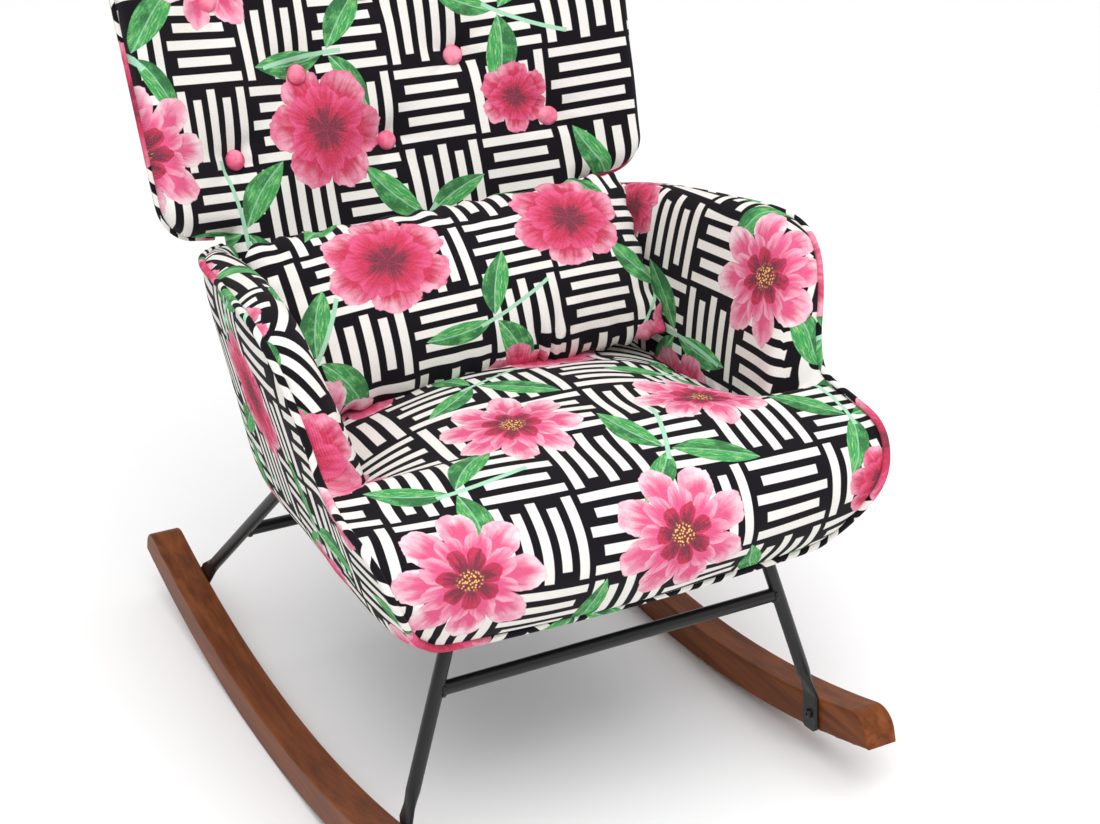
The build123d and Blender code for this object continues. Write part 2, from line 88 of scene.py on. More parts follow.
for name, (place, size, power) in studio["lamps"].items():
    lampAt(name, place, size, power)
skylight = bpy.data.lights.new("overheadLight", "SUN")
skylight.energy = studio["overhead"]
skylight.angle = studio["overheadSpread"]
skylightHolder = bpy.data.objects.new("overheadLight", skylight)
skylightHolder.rotation_euler = studio["overheadTurn"]
scene.collection.objects.link(skylightHolder)
world = bpy.data.worlds.new("studioWorld")
world.use_nodes = True
sky = world.node_tree.nodes["Background"]
sky.inputs["Color"].default_value = (1, 1, 1, 1)
sky.inputs["Strength"].default_value = studio["sky"]
scene.world = world
scene.view_settings.view_transform = "Standard"

# small tools for shader nodes: a value is a number, a color or another node's output socket


def linked(socket, value):
    if isinstance(value, bpy.types.NodeSocket):
        socket.id_data.links.new(value, socket)
    else:
        socket.default_value = value


def treeOf(values):
    return next(value.id_data for value in values if isinstance(value, bpy.types.NodeSocket))


def nodeIn(tree, kind, values, **settings):
    node = tree.nodes.new("ShaderNode" + kind)
    for label, value in settings.items():
        setattr(node, label, value)
    for label, value in values.items():
        linked(node.inputs[label], value)
    return node


def maths(operation, *values):
    return nodeIn(treeOf(values), "Math", dict(enumerate(values)), operation=operation).outputs[0]


def named(operation):
    return lambda *values: maths(operation, *values)


plus, minus, times, divided = (named(k) for k in ("ADD", "SUBTRACT", "MULTIPLY", "DIVIDE"))
scaled, floored, fraction = (named(k) for k in ("MULTIPLY_ADD", "FLOOR", "FRACT"))
sizeOf, remainder, larger = (named(k) for k in ("ABSOLUTE", "FLOORED_MODULO", "MAXIMUM"))


def mixed(share, first, second):
    values = {"Factor": share, "A": first, "B": second}
    return nodeIn(share.id_data, "Mix", values, data_type="RGBA").outputs["Result"]


def noiseOf(vector, scale, detail=2.0, rough=0.5):
    values = {"Vector": vector, "Scale": scale, "Detail": detail, "Roughness": rough}
    return nodeIn(vector.id_data, "TexNoise", values).outputs["Fac"]


def stepped(value, low, high):
    # a smooth step up from low to high, or down where low is the larger
    values = {"Value": value, "From Min": low, "From Max": high}
    return nodeIn(value.id_data, "MapRange", values, interpolation_type="SMOOTHSTEP").outputs["Result"]


def vectorOf(*parts):
    return nodeIn(treeOf(parts), "CombineXYZ", dict(zip("XYZ", parts))).outputs["Vector"]


def flatParts(vector):
    node = nodeIn(vector.id_data, "SeparateXYZ", {"Vector": vector})
    return node.outputs["X"], node.outputs["Y"]


def newGroup(name, inputs, outputs):
    tree = bpy.data.node_groups.new(name, "ShaderNodeTree")
    for way, sockets in (("INPUT", inputs), ("OUTPUT", outputs)):
        for label, kind in sockets.items():
            tree.interface.new_socket(label, in_out=way, socket_type="NodeSocket" + kind)
    return tree, tree.nodes.new("NodeGroupInput").outputs, tree.nodes.new("NodeGroupOutput").inputs


def groupIn(group, values):
    return nodeIn(treeOf(values.values()), "Group", values, node_tree=group).outputs


def newMaterial(name, values):
    material = bpy.data.materials.new(name)
    material.use_nodes = True
    shader = material.node_tree.nodes["Principled BSDF"]
    for label, value in values.items():
        shader.inputs[label].default_value = value
    return material, material.node_tree, shader


def bumped(shader, height, distance, strength):
    values = {"Height": height, "Distance": distance, "Strength": strength}
    linked(shader.inputs["Normal"], nodeIn(shader.id_data, "Bump", values).outputs["Normal"])


def toneBetween(shader, share, first, second):
    linked(shader.inputs["Base Color"], mixed(share, first, second))


def clothPlace(tree):
    return nodeIn(tree, "UVMap", {}, uv_map="cloth").outputs["UV"]


def objectPlace(tree):
    return nodeIn(tree, "TexCoord", {}).outputs["Object"]


def stretchedPlace(tree, scale):
    return nodeIn(tree, "Mapping", {"Vector": objectPlace(tree), "Scale": scale}).outputs["Vector"]


# printed cloth: a parquet of pale bars on black, with open blossoms and leaf sprays over it
clothPrint = {
    "block": 0.100, "bars": 5,
    # the soft edge of half a bar, as shares of its lane; a bar's end gap and stagger, as shares of the block
    "barEdge": (0.29, 0.255),
    "barEnd": 0.025, "barStagger": 0.11,
    "cell": 0.240, "rowStep": 0.92,
    "blossom": 0.079,
    # bearing, length and half width of each leaf of a spray
    "leaves": [(0.2, 0.094, 0.0175), (2.2, 0.086, 0.0150), (4.1, 0.096, 0.0195)],
    "leafBend": 2.4,
    "stalk": (-0.02, 0.088),
    "stalkEdge": (0.0031, 0.0022),
    "weavePitch": 0.0018,
    # share of the pale thread specks, and strength of the painted shade in the weave's hollows
    "speck": 0.12, "weaveShadeStrength": 0.26,
    "surface": {"Roughness": 0.88, "Sheen Weight": 0.02, "Sheen Roughness": 0.6, "Specular IOR Level": 0.12},
}
inks = {
    "black": (0.0062, 0.0050, 0.0078, 1),
    # near black used as painted shade in the weave's hollows
    "weaveShadeInk": (0.005, 0.004, 0.005, 1),
    "cream": (0.90, 0.875, 0.83, 1),
    "white": (0.96, 0.81, 0.85, 1),
    "blush": (0.92, 0.41, 0.55, 1),
    "rose": (0.78, 0.082, 0.235, 1),
    "crimson": (0.58, 0.010, 0.075, 1),
    "wine": (0.19, 0.004, 0.035, 1),
    "stamen": (0.93, 0.62, 0.13, 1),
    "leaf": (0.018, 0.33, 0.065, 1),
    "sprout": (0.36, 0.72, 0.28, 1),
    "shade": (0.006, 0.15, 0.030, 1),
    "stem": (0.40, 0.74, 0.52, 1),
}


def parquetGroup():
    # bars run across every other block and up the blocks between, with staggered ends
    tree, given, result = newGroup("parquetBars", {"Place": "Vector"}, {"Bar": "Float"})
    x, y = flatParts(given["Place"])
    across = divided(x, clothPrint["block"])
    upward = divided(y, clothPrint["block"])
    column = floored(across)
    row = floored(upward)
    turn = remainder(plus(column, row), 2.0)
    along = fraction(across)
    over = fraction(upward)
    straight = minus(1.0, turn)

    def either(first, second):
        return plus(times(first, straight), times(second, turn))

    length = either(along, over)
    width = times(either(over, along), float(clothPrint["bars"]))
    index = floored(width)
    odd = remainder(index, 2.0)
    edge = sizeOf(minus(fraction(width), 0.5))
    body = stepped(edge, *clothPrint["barEdge"])
    fromEnd = minus(0.5, sizeOf(minus(length, 0.5)))
    margin = scaled(odd, clothPrint["barStagger"], clothPrint["barEnd"])
    ends = stepped(minus(fromEnd, margin), 0.0, 0.012)
    linked(result["Bar"], times(body, ends))
    return tree


def turned(x, y, angle):
    # the same point seen from axes turned by an angle
    c = maths("COSINE", angle)
    s = maths("SINE", angle)
    first = plus(times(x, c), times(y, s))
    second = minus(times(y, c), times(x, s))
    return first, second


def almond(x, y, start, length, width):
    # a leaf along x: its half width is a parabola that vanishes at both tips
    share = divided(minus(x, start), length)
    bow = times(share, minus(1.0, share))
    room = minus(times(bow, width * 4), sizeOf(y))
    return stepped(room, 0.0, 0.0009)


def cellMotif(place, offset, seed):
    # brick layout: the place seen from a motif's own centre and turn, and the cell's random numbers
    x, y = flatParts(place)
    cell = clothPrint["cell"]
    tall = cell * clothPrint["rowStep"]
    upward = scaled(y, 1 / tall, offset)
    row = floored(upward)
    shift = scaled(remainder(row, 2.0), 0.5, offset)
    across = scaled(x, 1 / cell, shift)
    spot = vectorOf(floored(across), row, seed)
    chance = nodeIn(place.id_data, "TexWhiteNoise", {"Vector": spot}, noise_dimensions="3D").outputs
    one, two, three = nodeIn(place.id_data, "SeparateColor", {"Color": chance["Color"]}).outputs
    x = plus(fraction(across), scaled(one, 0.14, -0.57))
    y = plus(fraction(upward), scaled(two, 0.12, -0.56))
    x, y = turned(times(x, cell), times(y, tall), times(three, 2 * math.pi))
    return x, y, one, two, chance["Value"]


def blossomGroup():
    # three rings of petals in each cell; a cell's numbers make it a full rose, a pale star or a small bloom
    tree, given, result = newGroup("blossoms", {"Place": "Vector"}, {"Petal": "Float", "Tone": "Color"})
    place = given["Place"]
    wash = noiseOf(place, 30.0, 4.0, 0.62)
    fine = noiseOf(place, 190.0, 3.0, 0.6)
    wobble = scaled(noiseOf(place, 62.0, 2.0), 0.016, -0.008)
    x, y, one, two, kind = cellMotif(place, 0.0, 3.0)
    squares = plus(times(x, x), times(y, y))
    plain = plus(maths("SQRT", squares), 0.0001)
    radius = plus(plain, wobble)
    angle = maths("ARCTAN2", y, x)
    # brush strokes: noise on a cone, so that it runs out along each petal
    strokes = vectorOf(
        divided(times(x, 5.5), plain), divided(times(y, 5.5), plain), scaled(plain, 14.0, times(one, 9.0))
    )
    stroke = noiseOf(strokes, 1.5, 5.0, 0.62)
    small = maths("LESS_THAN", kind, 0.2)
    star = maths("GREATER_THAN", kind, 0.62)
    size = scaled(one, 0.010, clothPrint["blossom"] - 0.006)
    size = times(size, scaled(small, -0.38, 1.0))
    deep = scaled(star, 0.20, 0.26)

    def ring(share, petals, offset):
        # a ring of round petals: its radius is cut back where a rectified cosine of the angle is small
        count = plus(star, petals / 2)
        wave = sizeOf(maths("COSINE", scaled(angle, count, offset)))
        lobe = times(minus(1.0, maths("POWER", wave, 0.5)), deep)
        edge = times(times(size, share), minus(1.0, lobe))
        room = minus(edge, radius)
        return stepped(room, 0.0, 0.0012), divided(room, size), wave

    def painted(deepTone, paleTone, room, wave, low, high):
        # pale at the petal's edge and deep at its root, darker in the notches and along a drawn rim
        inward = scaled(stroke, 0.62, minus(room, 0.31))
        tone = mixed(stepped(inward, low, high), paleTone, deepTone)
        notch = stepped(wave, 0.36, 0.03)
        rim = stepped(room, 0.026, 0.008)
        dark = larger(times(notch, 0.6), times(rim, 0.4))
        dark = times(dark, stepped(fine, 0.2, 0.7))
        return mixed(dark, tone, inks["crimson"])

    outer, outerRoom, outerWave = ring(1.0, 6, 0.0)
    middle, middleRoom, middleWave = ring(0.70, 6, 1.57)
    inner, innerRoom, innerWave = ring(0.43, 5, 0.7)
    pale = mixed(stepped(wash, 0.36, 0.62), inks["blush"], inks["white"])
    full = mixed(stepped(wash, 0.34, 0.66), inks["rose"], inks["blush"])
    paleShare = scaled(star, 0.75, times(two, 0.25))
    edgeTone = mixed(paleShare, full, pale)
    rootTone = mixed(star, inks["crimson"], inks["rose"])
    color = painted(rootTone, edgeTone, outerRoom, outerWave, 0.0, 0.36)
    rosy = mixed(star, inks["rose"], inks["blush"])
    color = mixed(middle, color, painted(rootTone, rosy, middleRoom, middleWave, -0.02, 0.26))
    heart = painted(inks["wine"], inks["crimson"], innerRoom, innerWave, 0.0, 0.2)
    color = mixed(inner, color, heart)
    dots = nodeIn(tree, "TexVoronoi", {"Vector": place, "Scale": 300.0}, voronoi_dimensions="2D").outputs
    near = stepped(radius, 0.016, 0.009)
    spot = stepped(dots["Distance"], 0.36, 0.26)
    spot = times(times(near, spot), star)
    color = mixed(spot, color, inks["stamen"])
    linked(result["Petal"], outer)
    linked(result["Tone"], color)
    return tree


def sprayGroup():
    # three leaves and a thin stalk from one point, in a layout half a cell away from the blossoms
    tree, given, result = newGroup("leafSprays", {"Place": "Vector"}, {"Leaf": "Float", "Tone": "Color"})
    place = given["Place"]
    wash = noiseOf(place, 40.0, 4.0, 0.62)
    x, y, one, two = cellMotif(place, 0.5, 11.0)[:4]
    cover = None
    color = inks["leaf"]
    for bearing, length, width in clothPrint["leaves"]:
        lx, ly = turned(x, y, scaled(one, 0.9, bearing))
        ly = plus(ly, times(times(lx, lx), clothPrint["leafBend"]))
        mask = almond(lx, ly, 0.004, length, width)
        streak = noiseOf(vectorOf(lx, times(ly, 6.0), 0.0), 75.0, 4.0, 0.65)
        blade = mixed(stepped(streak, 0.45, 0.72), inks["leaf"], inks["sprout"])
        low = times(stepped(ly, -0.0015, 0.0015), stepped(wash, 0.38, 0.6))
        blade = mixed(low, blade, inks["shade"])
        rib = stepped(sizeOf(ly), 0.0012, 0.0004)
        blade = mixed(times(rib, 0.6), blade, inks["stem"])
        color = mixed(mask, color, blade)
        cover = mask if cover is None else larger(cover, mask)
    sx, sy = turned(x, y, scaled(two, 1.0, 5.2))
    sway = times(times(sx, sx), 1.2)
    off = sizeOf(minus(sy, sway))
    thin = stepped(off, *clothPrint["stalkEdge"])
    near, far = clothPrint["stalk"]
    reach = times(maths("GREATER_THAN", sx, near), maths("LESS_THAN", sx, far))
    stalk = times(thin, reach)
    linked(result["Leaf"], larger(cover, stalk))
    linked(result["Tone"], mixed(stalk, color, inks["stem"]))
    return tree


def weaveGroup():
    # twill: diagonal ribs crossed by fine threads, both as sine waves of the place on the cloth
    tree, given, result = newGroup(
        "twillWeave", {"Place": "Vector", "Pitch": "Float"}, {"Height": "Float", "Shade": "Float"}
    )
    x, y = flatParts(given["Place"])
    perTurn = divided(2 * math.pi, given["Pitch"])
    turnsX = times(x, perTurn)
    turnsY = times(y, perTurn)
    rib = maths("SINE", plus(turnsX, turnsY))
    thread = maths("SINE", minus(times(turnsX, 2.0), turnsY))
    slub = noiseOf(given["Place"], 420.0, 2.0)
    height = plus(scaled(rib, 0.3, 0.5), times(thread, 0.12))
    height = plus(height, scaled(slub, 0.5, -0.25))
    linked(result["Height"], height)
    linked(result["Shade"], stepped(height, 0.1, 0.9))
    return tree


parquet = parquetGroup()
blossoms = blossomGroup()
sprays = sprayGroup()
weave = weaveGroup()


def printedCloth(name, slide, turn):
    # slide and turn set where the pattern repeat falls on one piece
    material, tree, shader = newMaterial(name, clothPrint["surface"])
    values = {"Vector": clothPlace(tree), "Location": (*slide, 0), "Rotation": (0, 0, turn)}
    place = nodeIn(tree, "Mapping", values).outputs["Vector"]
    bars = groupIn(parquet, {"Place": place})
    bloom = groupIn(blossoms, {"Place": place})
    spray = groupIn(sprays, {"Place": place})
    threads = groupIn(weave, {"Place": place, "Pitch": clothPrint["weavePitch"]})
    color = mixed(bars["Bar"], inks["black"], inks["cream"])
    color = mixed(spray["Leaf"], color, spray["Tone"])
    color = mixed(bloom["Petal"], color, bloom["Tone"])
    inked = larger(spray["Leaf"], bloom["Petal"])
    raised = stepped(threads["Shade"], 0.55, 0.95)
    # pale thread tops show through the print, and the hollows between threads are darkened with painted
    # shade
    specks = times(times(inked, raised), clothPrint["speck"])
    color = mixed(specks, color, inks["cream"])
    # painted shade: the lower a point lies in the weave, the more its colour goes to near black
    sunk = times(minus(1.0, threads["Shade"]), clothPrint["weaveShadeStrength"])
    color = mixed(sunk, color, inks["weaveShadeInk"])
    linked(shader.inputs["Base Color"], color)
    bumped(shader, threads["Height"], 0.0005, 0.6)
    return material


def stainedWood():
    # long fibres: noise stretched along the rocker, with finer dark pores in it
    material, tree, shader = newMaterial("stainedWood", {"Specular IOR Level": 0.15})
    grain = noiseOf(stretchedPlace(tree, (16, 0.9, 16)), 5.0, 6.0, 0.65)
    pore = noiseOf(stretchedPlace(tree, (60, 4, 60)), 9.0, 3.0, 0.6)
    color = mixed(stepped(grain, 0.3, 0.72), (0.102, 0.025, 0.0062, 1), (0.225, 0.064, 0.0165, 1))
    dark = times(stepped(pore, 0.58, 0.75), 0.4)
    toneBetween(shader, dark, color, (0.050, 0.013, 0.004, 1))
    linked(shader.inputs["Roughness"], scaled(grain, 0.16, 0.36))
    bumped(shader, plus(times(pore, -0.5), grain), 0.0004, 0.5)
    return material


def powderCoat():
    material, tree, shader = newMaterial("blackPowderCoat", {"Specular IOR Level": 0.38})
    place = objectPlace(tree)
    peel = noiseOf(place, 900.0, 2.0)
    dust = noiseOf(place, 25.0, 3.0)
    toneBetween(shader, dust, (0.0045, 0.0045, 0.005, 1), (0.009, 0.0085, 0.009, 1))
    linked(shader.inputs["Roughness"], scaled(peel, 0.16, 0.28))
    bumped(shader, peel, 0.0003, 0.4)
    return material


def zincPlate():
    material, tree, shader = newMaterial("zincPlate", {"Metallic": 1.0})
    haze = noiseOf(objectPlace(tree), 160.0, 4.0)
    toneBetween(shader, haze, (0.42, 0.42, 0.40, 1), (0.68, 0.68, 0.66, 1))
    linked(shader.inputs["Roughness"], scaled(haze, 0.25, 0.25))
    return material


def plainTimber():
    material, tree, shader = newMaterial("plainTimber", {"Roughness": 0.7})
    grain = noiseOf(stretchedPlace(tree, (3, 14, 14)), 6.0, 5.0, 0.6)
    toneBetween(shader, grain, (0.36, 0.22, 0.11, 1), (0.62, 0.45, 0.26, 1))
    bumped(shader, grain, 0.0004, 0.4)
    return material


def blackWeb(name, pitch, tone):
    material, tree, shader = newMaterial(name, {"Roughness": 0.9})
    threads = groupIn(weave, {"Place": objectPlace(tree), "Pitch": pitch})
    # painted light and shade on the weave: thread tops are mixed towards a paler grey, hollows towards near
    # black
    pale = (tone, tone, tone * 1.05, 1)
    toneBetween(shader, threads["Shade"], (0.006, 0.006, 0.007, 1), pale)
    bumped(shader, threads["Height"], 0.0004, 0.6)
    return material


def buttonCloth():
    material, tree, shader = newMaterial("buttonCloth", {"Roughness": 0.85})
    wash = noiseOf(objectPlace(tree), 45.0, 3.0)
    toneBetween(shader, stepped(wash, 0.35, 0.65), (0.72, 0.07, 0.19, 1), (0.90, 0.30, 0.41, 1))
    threads = groupIn(weave, {"Place": clothPlace(tree), "Pitch": 0.0011})
    bumped(shader, threads["Height"], 0.0003, 0.5)
    return material


finishes = {
    "stained_wood": stainedWood(),
    "black_metal": powderCoat(),
    "zinc_steel": zincPlate(),
    "frame_wood": plainTimber(),
    "elastic_web": blackWeb("elasticWeb", 0.003, 0.05),
    "lining": blackWeb("liningCloth", 0.0016, 0.03),
}
# the piping is a strip of the same cloth, cut on the bias
piping = printedCloth("pipingCloth", (0.13, 0.05), math.radians(45))
for part in frame["record"]["subparts"]:
    node = frame["nodes"][part["node"]]
    if part["material_slot"] in finishes:
        node.data.materials.clear()
        node.data.materials.append(finishes[part["material_slot"]])
print("materials done")

# mesh tools


def joinedGrids(name, grids, material):
    # each grid is (points, cloth map); grids that share an edge are welded into one closed skin
    corners, faces, maps = [], [], []
    base = 0
    for points, cloth in grids:
        rows, cols = points.shape[:2]
        index = base + np.arange(rows * cols).reshape(rows, cols)
        quads = np.stack([index[:-1, :-1], index[1:, :-1], index[1:, 1:], index[:-1, 1:]], -1).reshape(-1, 4)
        corners.append(points.reshape(-1, 3))
        faces.append(quads)
        maps.append(cloth.reshape(-1, 2)[quads - base].reshape(-1, 2))
        base += rows * cols
    corners, faces, maps = np.concatenate(corners), np.concatenate(faces), np.concatenate(maps)
    mesh = bpy.data.meshes.new(name)
    mesh.from_pydata(corners.tolist(), [], faces.tolist(), shade_flat=False)
    layer = mesh.uv_layers.new(name="cloth")
    layer.data.foreach_set("uv", maps.astype(np.float32).ravel())
    work = bmesh.new()
    work.from_mesh(mesh)
    bmesh.ops.remove_doubles(work, verts=work.verts, dist=1e-5)
    bmesh.ops.dissolve_degenerate(work, dist=1e-6, edges=work.edges)
    bmesh.ops.recalc_face_normals(work, faces=work.faces)
    work.to_mesh(mesh)
    work.free()
    mesh.materials.append(material)
    piece = bpy.data.objects.new(name, mesh)
    scene.collection.objects.link(piece)
    return piece


def placed(piece, body, slot, *nodes):
    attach(piece, body)
    if nodes:
        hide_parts(*nodes)
    print("made", piece.name, len(piece.data.vertices), "vertices")
    return piece


def smoothPath(knots, at):
    # cubic through the knots: each knot's slope is half the step between its neighbours
    knots = np.asarray(knots, float)
    slopes = np.gradient(knots, axis=0)
    low = np.clip(np.floor(at).astype(int), 0, len(knots) - 2)
    f = (at - low)[:, None]
    a, b, sa, sb = knots[low], knots[low + 1], slopes[low], slopes[low + 1]
    return (
        a * (2 * f**3 - 3 * f**2 + 1) + b * (3 * f**2 - 2 * f**3)
        + sa * (f**3 - 2 * f**2 + f) + sb * (f**3 - f**2)
    )


def runLength(points):
    steps = np.linalg.norm(np.diff(points, axis=0), axis=-1)
    return np.concatenate([[0.0], np.cumsum(steps)])


def vertexArray(mesh, field):
    values = np.empty(len(mesh.vertices) * 3)
    mesh.vertices.foreach_get(field, values)
    return values.reshape(-1, 3)


def moved(mesh, points):
    mesh.vertices.foreach_set("co", points.astype(np.float32).ravel())
    mesh.update()


def smooth01(value):
    value = np.clip(value, 0, 1)
    return value**2 * (3 - 2 * value)


mirror = np.array((-1.0, 1, 1))


def mirroredGrids(grids):
    return [(points * mirror, cloth * mirror[:2]) for points, cloth in grids]


def softened(points, rounds, axis=1):
    # moves every point half way to the middle of its two neighbours
    points = np.moveaxis(points.copy(), axis, 0)
    for _ in range(rounds):
        points[1:-1] = points[1:-1] * 0.5 + (points[:-2] + points[2:]) * 0.25
    return np.moveaxis(points, 0, axis)


cord = {"radius": 0.0042, "sides": 16, "upright": 0.2}


def rolledCord(name, path):
    # a round tube along a path: its side axis is level, or square to y where the path stands upright,
    # and is turned round where it would flip over
    radius = cord["radius"]
    tangent = np.gradient(path, axis=0)
    tangent /= np.linalg.norm(tangent, axis=1, keepdims=True)
    side = np.cross(tangent, np.array((0.0, 0.0, 1.0)))
    steep = np.linalg.norm(side, axis=1) < cord["upright"]
    side[steep] = np.cross(tangent[steep], np.array((0.0, 1.0, 0.0)))
    flip = np.concatenate([[1.0], np.cumprod(np.sign(np.sum(side[1:] * side[:-1], axis=1)))])
    side *= flip[:, None]
    side /= np.linalg.norm(side, axis=1, keepdims=True)
    up = np.cross(side, tangent)
    turn = np.linspace(0, 2 * math.pi, cord["sides"] + 1)
    ringPoints = path[:, None] + radius * (
        np.cos(turn)[None, :, None] * side[:, None] + np.sin(turn)[None, :, None] * up[:, None]
    )
    along = runLength(path)
    cloth = np.stack(np.broadcast_arrays(along[:, None], turn[None, :] * radius), -1)
    grids = [(ringPoints, cloth)]
    for end in (0, -1):
        cap = np.stack([ringPoints[end], np.repeat(path[end][None], len(turn), 0)], 0)
        grids.append((cap, np.stack([cloth[end], cloth[end]], 0)))
    return joinedGrids(name, grids, piping)


skinSettings = {
    "quality": 5,
    "mass": 0.3,
    "tension_stiffness": 20,
    "compression_stiffness": 20,
    "shear_stiffness": 8,
    "bending_stiffness": 0.3,
}


def swollen(piece, held, pressure, cap):
    # cloth simulation: the skin is blown up from inside while its held points stay in place,
    # and no point ends further from its start than the cap
    before = vertexArray(piece.data, "co")
    group = piece.vertex_groups.new(name="held")
    group.add([int(k) for k in np.nonzero(held(before))[0]], 1.0, "REPLACE")
    cloth = piece.modifiers.new("swell", "CLOTH")
    for label, value in skinSettings.items():
        setattr(cloth.settings, label, value)
    cloth.settings.vertex_group_mass = "held"
    cloth.settings.use_pressure = True
    cloth.settings.uniform_pressure_force = pressure
    cloth.settings.effector_weights.gravity = 0
    cloth.collision_settings.use_collision = False
    lastFrame = 20
    cloth.point_cache.frame_start = 1
    cloth.point_cache.frame_end = lastFrame
    for step in range(1, lastFrame + 1):
        scene.frame_set(step)
    shaped = piece.evaluated_get(bpy.context.evaluated_depsgraph_get()).data
    move = vertexArray(shaped, "co") - before
    far = np.linalg.norm(move, axis=1, keepdims=True)
    move *= np.minimum(1.0, cap / np.maximum(far, 1e-9))
    piece.modifiers.remove(cloth)
    piece.vertex_groups.remove(group)
    scene.frame_set(1)
    moved(piece.data, before + move)
    print("simulated", piece.name, "moved up to", round(float(far.max()), 4))


# tub: arms with their outer panels, then the crowned seat between them
tub = {
    # the rim that the piping follows on the right arm, from the rear to the seat's front edge
    "rim": [
        (0.243, 0.206, 0.566), (0.283, 0.150, 0.580), (0.308, 0.078, 0.593), (0.324, -0.030, 0.606),
        (0.335, -0.112, 0.613), (0.337, -0.163, 0.606), (0.332, -0.196, 0.583), (0.323, -0.217, 0.545),
        (0.313, -0.231, 0.499), (0.309, -0.245, 0.469), (0.309, -0.266, 0.456), (0.313, -0.306, 0.447),
        (0.312, -0.350, 0.4385), (0.305, -0.378, 0.420), (0.295, -0.389, 0.390), (0.280, -0.382, 0.358),
        (0.261, -0.366, 0.327), (0.236, -0.357, 0.306),
    ],
    # where the padded top and front turn into the inner panel
    "shoulder": [
        (0.222, 0.198, 0.555), (0.249, 0.148, 0.568), (0.260, 0.078, 0.589), (0.272, -0.030, 0.605),
        (0.285, -0.112, 0.611), (0.289, -0.160, 0.602), (0.287, -0.190, 0.576), (0.278, -0.210, 0.538),
        (0.268, -0.227, 0.490), (0.266, -0.242, 0.450), (0.284, -0.262, 0.434), (0.303, -0.300, 0.430),
        (0.304, -0.342, 0.422), (0.298, -0.366, 0.406), (0.288, -0.375, 0.382), (0.274, -0.369, 0.354),
        (0.256, -0.356, 0.326), (0.234, -0.350, 0.306),
    ],
    # where the inner panel meets the seat
    "crease": [
        (0.218, 0.196, 0.392), (0.243, 0.146, 0.391), (0.249, 0.078, 0.388), (0.251, -0.030, 0.385),
        (0.254, -0.112, 0.386), (0.254, -0.160, 0.389), (0.253, -0.190, 0.393), (0.253, -0.208, 0.398),
        (0.254, -0.222, 0.402), (0.256, -0.236, 0.404), (0.266, -0.254, 0.403), (0.281, -0.292, 0.398),
        (0.282, -0.328, 0.392), (0.277, -0.350, 0.380), (0.270, -0.358, 0.362), (0.259, -0.355, 0.342),
        (0.246, -0.348, 0.322), (0.232, -0.346, 0.306),
    ],
    # the lower edge, which the outer panel comes down to
    "sole": [
        (0.220, 0.200, 0.293), (0.240, 0.118, 0.293), (0.246, 0.056, 0.293), (0.249, -0.033, 0.294),
        (0.253, -0.113, 0.295), (0.256, -0.150, 0.295), (0.2565, -0.170, 0.2955), (0.257, -0.185, 0.296),
        (0.258, -0.200, 0.2965), (0.2585, -0.215, 0.297), (0.259, -0.235, 0.297), (0.259, -0.270, 0.298),
        (0.257, -0.305, 0.299), (0.255, -0.320, 0.300), (0.252, -0.333, 0.301), (0.248, -0.343, 0.302),
        (0.243, -0.350, 0.303), (0.235, -0.354, 0.304),
    ],
    "bulge": 0.0085,
    "topRise": 0.012,
    "innerSwell": 0.009,
    "cordOut": 0.0022,
    "frontBow": 0.002, "frontSag": 0.007,
    "fullHeight": 0.31,
    # the arm's roll fades out along the knots before the seat's front edge
    "armEnd": 10.0, "armFade": 1.6,
    "mapStart": 0.2,
    "perKnot": 9,
    "across": 40,
    "topColumns": 13, "panelColumns": 20,
}
spans = len(tub["rim"]) - 1
at = np.linspace(0, spans, spans * tub["perKnot"] + 1)
rim, shoulder, crease, sole = (smoothPath(tub[k], at) for k in ("rim", "shoulder", "crease", "sole"))


